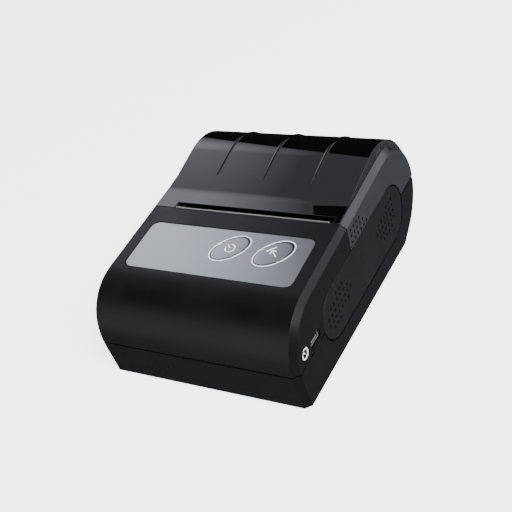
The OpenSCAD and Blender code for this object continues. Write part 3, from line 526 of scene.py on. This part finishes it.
# screen ink: crisp, even white lines that stand out from the silver
INK_WHITE = "#f6f8fc"
white_ink = new_finish("white_screen_ink", INK_WHITE, roughness=0.45)
wear_and_edge_highlight(white_ink, INK_WHITE, grain=0.3, depth=0.002, soft_edge=0.02, rubbed_and_highlit=0.0)
ring_path = [q.to_2d() for q in oval(RING_LONG, RING_SHORT, 0)]
for key, across_panel in zip(("power", "feed"), KEY_ACROSS):
    ring = printed_lines(key + "_ring", on_panel(across_panel, KEY_UP, KEY_TURN),
                         [ring_path + ring_path[:1]], RING_LINE, FILM_TOP - INK_SUNK, FILM_TOP + INK_PROUD)
    ring.data.materials.append(white_ink)
    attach(ring, "base")

# Keys. Two oval hard keys under the same silver print, a little crowned, on a flange
# that catches them behind the panel and a stem that presses the switch. One bears a
# power symbol and the other a feed arrow, in white ink.
KEY_LONG, KEY_SHORT = 7.15, 4.5
KEY_FLANGE, KEY_STEM = 0.8, 1.5
CROWN, CROWN_DROP = 0.04, 0.02
KEY_CREASE = 35
CROWN_RINGS = (0.15, 0.35, 0.55, 0.75, 0.9)
# how far the edge draws in, and its height on the panel, from the crown's rim downwards
KEY_EDGE = ((0.2, -0.17), (0.08, -0.2), (0.02, -0.27), (0, -0.4), (0, -2.3))
FLANGE_LOW, STEM_LOW = -3.3, -4.55


def key_rings():
    """Rings of the key from its crown down the edge to the flange and the stem."""
    rings = [oval(KEY_LONG * k, KEY_SHORT * k, FILM_TOP + CROWN * (1 - k * k) - CROWN_DROP)
             for k in CROWN_RINGS]
    rings += [oval(KEY_LONG - d, KEY_SHORT - d, h) for d, h in KEY_EDGE]
    rings += [oval(KEY_LONG + KEY_FLANGE, KEY_SHORT + KEY_FLANGE, h) for h in (KEY_EDGE[-1][1], FLANGE_LOW)]
    rings += [oval(KEY_STEM, KEY_STEM, h) for h in (FLANGE_LOW, STEM_LOW)]
    return rings


def stacked(name, place, rings):
    """Skin over rings of equal count, from the first down to the last, both ends closed."""
    count = len(rings[0])
    corners = [place @ q for ring in rings for q in ring]
    faces = [tuple(range(count)), tuple(reversed(range(len(corners) - count, len(corners))))]
    for k in range(len(rings) - 1):
        for i in range(count):
            j = (i + 1) % count
            faces.append((k * count + j, k * count + i, (k + 1) * count + i, (k + 1) * count + j))
    piece = new_piece(name, corners, faces)
    piece.data.shade_smooth()
    piece.data.set_sharp_from_angle(angle=math.radians(KEY_CREASE))
    return piece


def arc_path(radius, start, end, steps=24):
    """Points of an arc, angles in degrees."""
    turns = [math.radians(start + (end - start) * i / steps) for i in range(steps + 1)]
    return [(radius * math.cos(t), radius * math.sin(t)) for t in turns]


# the power symbol is an open circle with a stroke; the feed arrow points at a bar, the paper's edge
MARK_LINE = 0.42
MARK_LOW, MARK_HIGH = FILM_TOP - 0.05, FILM_TOP + 0.09
power_lines = [arc_path(1.75, 125, 415), [(0, 0.3), (0, 2.3)]]
feed_lines = [[(0, -1.9), (0, 1.6)], [(-1.2, 0.5), (0, 1.75), (1.2, 0.5)], [(-1.9, 2.45), (1.9, 2.45)]]
for key, across_panel, marks in zip(("power", "feed"), KEY_ACROSS, (power_lines, feed_lines)):
    here = on_panel(across_panel, KEY_UP, KEY_TURN)
    cap = stacked(key + "_key_cap", here, key_rings())
    cap.data.materials.append(film_ink)
    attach(cap, key + "_key")
    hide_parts(key + "_key")
    mark = printed_lines(key + "_key_mark", here, marks, MARK_LINE, MARK_LOW, MARK_HIGH)
    mark.data.materials.append(white_ink)
    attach(mark, key + "_key")

# Tear bar. A serrated blade punched from stainless strip, held in the housing at the
# front of the paper slot, where the paper is torn off.

# stainless strip: dark below, with a painted highlight on the punched tips, so the teeth read as a dotted
# line
BLADE, BLADE_GLINT = "#232427", "#f0f1f2"
TIP_AT, TIP_START, TIP_FULL = 40.28, 0.22, 0.15
PUNCH_MARKS, BLADE_LEAST, BLADE_MOST = 0.4, 0.3, 0.5
blade = new_finish("stamped_stainless_blade", BLADE, roughness=0.4, metallic=0.5)
tree = blade.node_tree
shader = tree.nodes[SURFACE]
height = add(tree, "SeparateXYZ", {0: add(tree, "TexCoord", {}).outputs["Object"]})
tip_glint = add(tree, "MapRange", {0: height.outputs["Z"], 1: (TIP_AT - TIP_START) * MM,
                                2: (TIP_AT - TIP_FULL) * MM})
streaks = add(tree, "TexNoise", {"Scale": 1 / (PUNCH_MARKS * MM), "Detail": 2.0})
satin = add(tree, "MapRange", {0: streaks.outputs[0], 1: NOISE_LOW, 2: NOISE_HIGH,
                               3: BLADE_LEAST, 4: BLADE_MOST})
dark_body_and_glint = add(tree, "Mix", {"data_type": "RGBA", 0: tip_glint.outputs[0], 6: to_linear(BLADE),
                             7: to_linear(BLADE_GLINT)})
tree.links.new(dark_body_and_glint.outputs[2], shader.inputs["Base Color"])
tree.links.new(satin.outputs[0], shader.inputs["Roughness"])
coat(blade, "tear_bar")

# Cover frame. Moulded in one piece with its side wings, back panel and hinge barrels;
# it turns on two steel pins at the back and carries the roller at its front.

# the same ABS, greyer and with more sheen: wings and bevel stand out from the case.
# Its grain is the case's, and its edges are paled strongly: partly rubbed by handling, partly a painted edge
# highlight.
COVER_BLACK = "#1e1f22"
cover_abs = new_finish("moulded_abs_satin", COVER_BLACK, roughness=0.38, ior=1.53)
wear_and_edge_highlight(cover_abs, COVER_BLACK, grain=SPARK_GRAIN, depth=SPARK_DEPTH, soft_edge=0.25, rubbed_and_highlit=0.9)
cover = dressed("cover_frame", "paper_cover", pitted=True)
ease(cover, lambda q: abs(q.z - SEAM_BACK - SEAM_HALF) < ON_FACE, (0, 0, SEAM_CUT))
cover.data.materials.append(cover_abs)
# painted shade: the pad recesses and the grip pits of the cover get the near-black finish
paint_shade(cover, lambda at, facing, area: in_side_recess(at, facing) or is_pit(SIDE_AT, at, facing, area))
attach(cover, "cover")
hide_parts("cover_frame")

# Window. Smoked polycarbonate, moulded with a hump over the paper roll, that snaps into
# the cover frame. Three ribs, half-round beads that start as a point, run over the hump.
HUMP_Y, HUMP_Z, HUMP_R = 84.0 + CASE_FRONT, 22.0 + FEET, 24.0
HUMP_SLOPE = math.radians(14)
RIB_BEGIN, RIB_OVER, RIB_SUNK = 66 + CASE_FRONT, (0.1, 1), 0.05
RIB_START, RIB_END = 66.3 + CASE_FRONT, math.radians(24.8)
RIB_HALF, RIB_HIGH, RIB_TAPER, RIB_STOP = 0.65, 0.39, 7.0, 1.2
RIB_AT = (-19.75, 0.0, 19.75)
RIB_SEED, RIB_ROOT = 0.03, 0.1
SLOPE_STEPS, BEND_STEPS, BEAD_STEPS = 12, 32, 12
FLANK_TURN = 0.7
hump_up = Vector((0, -math.sin(HUMP_SLOPE), math.cos(HUMP_SLOPE)))
hump_middle = Vector((0, HUMP_Y, HUMP_Z))


def above_window(point):
    """Height of a point over the outer face of the hump, in mm, and the way out of it there."""
    from_middle = Vector((0, point.y, point.z)) / MM - hump_middle
    out = from_middle.normalized() if from_middle.y > hump_up.y * HUMP_R else hump_up
    return from_middle.dot(out) - HUMP_R, out


# smoked polycarbonate off polished mould steel: a deep black mirror, in which the softbox
# shows with a sharp edge
SMOKE = "#050506"
smoked = new_finish("smoked_polycarbonate", SMOKE, roughness=0.025, ior=1.585, gloss=0.7)
smoked.node_tree.nodes[SURFACE].inputs["Alpha"].default_value = 0.99
# painted highlight: the edges of the window and of its flanks are paled strongly, for the thin light lines
# along them
wear_and_edge_highlight(smoked, SMOKE, grain=4.0, depth=0.001, soft_edge=0.2, rubbed_and_highlit=0.9, scatter=0.012)
window = dressed("cover_window", "paper_window")
for corner_point in window.data.vertices:
    height, out = above_window(corner_point.co)
    if corner_point.co.y > RIB_BEGIN * MM and RIB_OVER[0] < height < RIB_OVER[1]:
        corner_point.co -= out * (height + RIB_SUNK) * MM
window.data.materials.append(smoked)
# sanded edge: the window's flanks are satin, a grey band between the mirror and the bevel
FLANK = "#1b1c1f"
flank = new_finish("sanded_polycarbonate_edge", FLANK, roughness=0.3, ior=1.585)
wear_and_edge_highlight(flank, FLANK, grain=0.5, depth=0.004, rubbed_and_highlit=0.9)
window.data.materials.append(flank)
for facet in window.data.polygons:
    if abs(facet.normal.x) > FLANK_TURN:
        facet.material_index = 1
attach(window, "cover")
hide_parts("cover_window")

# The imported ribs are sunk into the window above. The beads that replace them follow one line,
# straight up the slope and then round the hump.
rib_line = []
for i in range(SLOPE_STEPS + 1):
    y = RIB_START + (HUMP_Y + hump_up.y * HUMP_R - RIB_START) * i / SLOPE_STEPS
    rib_line.append((Vector((0, y, HUMP_Z + (HUMP_R - hump_up.y * (y - HUMP_Y)) / hump_up.z)), hump_up))
for i in range(1, BEND_STEPS + 1):
    turn = math.pi / 2 + HUMP_SLOPE - (math.pi / 2 + HUMP_SLOPE - RIB_END) * i / BEND_STEPS
    out = Vector((0, math.cos(turn), math.sin(turn)))
    rib_line.append((hump_middle + HUMP_R * out, out))
for number, rib_x in enumerate(RIB_AT):
    rings, run = [], 0.0
    for i, (foot, out) in enumerate(rib_line):
        run += (foot - rib_line[i - 1][0]).length if i else 0.0
        left = sum((rib_line[k + 1][0] - rib_line[k][0]).length for k in range(i, len(rib_line) - 1))
        grown = math.sqrt(min(1.0, run / RIB_TAPER + RIB_SEED) * min(1.0, left / RIB_STOP + RIB_SEED))
        rings.append([foot + Vector((rib_x + RIB_HALF * grown * math.cos(t), 0, 0))
                      + out * (RIB_HIGH * grown * math.sin(t) if 0 < k < BEAD_STEPS else -RIB_ROOT)
                      for k, t in enumerate(math.pi * j / BEAD_STEPS for j in range(BEAD_STEPS + 1))])
    rib = stacked("window_rib_%d" % (number + 1), Matrix.Scale(MM, 4), rings)
    rib.data.materials.append(smoked)
    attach(rib, "cover")

# Side pads. Soft grip pads of black thermoplastic rubber with rows of small pits, cut a
# little smaller than the recesses in the case walls that they are pressed into.
PAD_AT, PAD_CUT = 39.45, 0.3
# thermoplastic rubber: a dull, faintly grainy oval inside a dark outline, the gap round it with painted
# shade on the recess walls
PAD_BLACK = "#0e0f11"
pad_rubber = new_finish("thermoplastic_rubber_pad", PAD_BLACK, roughness=0.5, ior=1.5, gloss=0.3)
wear_and_edge_highlight(pad_rubber, PAD_BLACK, grain=0.35, depth=0.005, rubbed_and_highlit=0.3)
for side in ("left", "right"):
    pad = dressed("inlay_" + side, "grip_pad_" + side, pitted=True)
    outline = {}
    for facet in pad.data.polygons:
        if abs(facet.normal.x) < FACE_TILT:
            for corner_index in facet.vertices:
                outline[corner_index] = outline.get(corner_index, Vector()) + facet.normal * facet.area
    for corner_index, out in outline.items():
        pad.data.vertices[corner_index].co -= Vector((0, out.y, out.z)).normalized() * PAD_CUT * MM
    pad.data.materials.append(pad_rubber)
    # painted shade: the pad's pits get the near-black finish
    paint_shade(pad, lambda at, facing, area: is_pit(PAD_AT, at, facing, area))
    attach(pad, "base")
    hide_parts("inlay_" + side)
